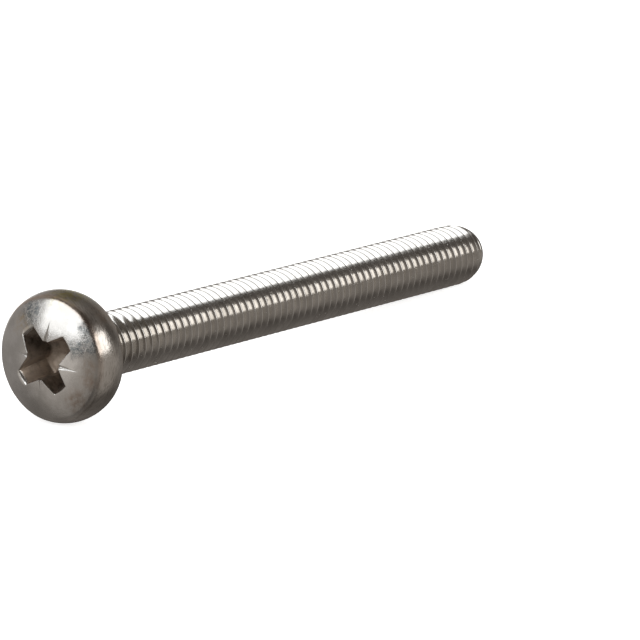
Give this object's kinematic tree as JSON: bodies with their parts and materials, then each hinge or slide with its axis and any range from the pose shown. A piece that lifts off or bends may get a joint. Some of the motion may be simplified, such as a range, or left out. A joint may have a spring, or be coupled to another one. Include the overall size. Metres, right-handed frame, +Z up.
{
  "type": "machine screw",
  "caption": "Pan head machine screw with a type Z cross recess and a metric thread along the whole shank, in stainless steel.",
  "frame": {"origin": "middle of the bearing face, on the screw's axis", "axes": "+X from the head to the end of the shank, in plan, and +Z up; the screw lies on a level surface, so its axis falls 2.98 degrees below +X towards the end of the shank"},
  "size_m": [0.0538, 0.01, 0.01],
  "materials": {
    "stainless_steel": "bare stainless steel: satin as forged on the head, bright as rolled on the thread"
  },
  "bodies": {
    "root": {"machine_screw": "stainless_steel"}
  },
  "joints": []
}
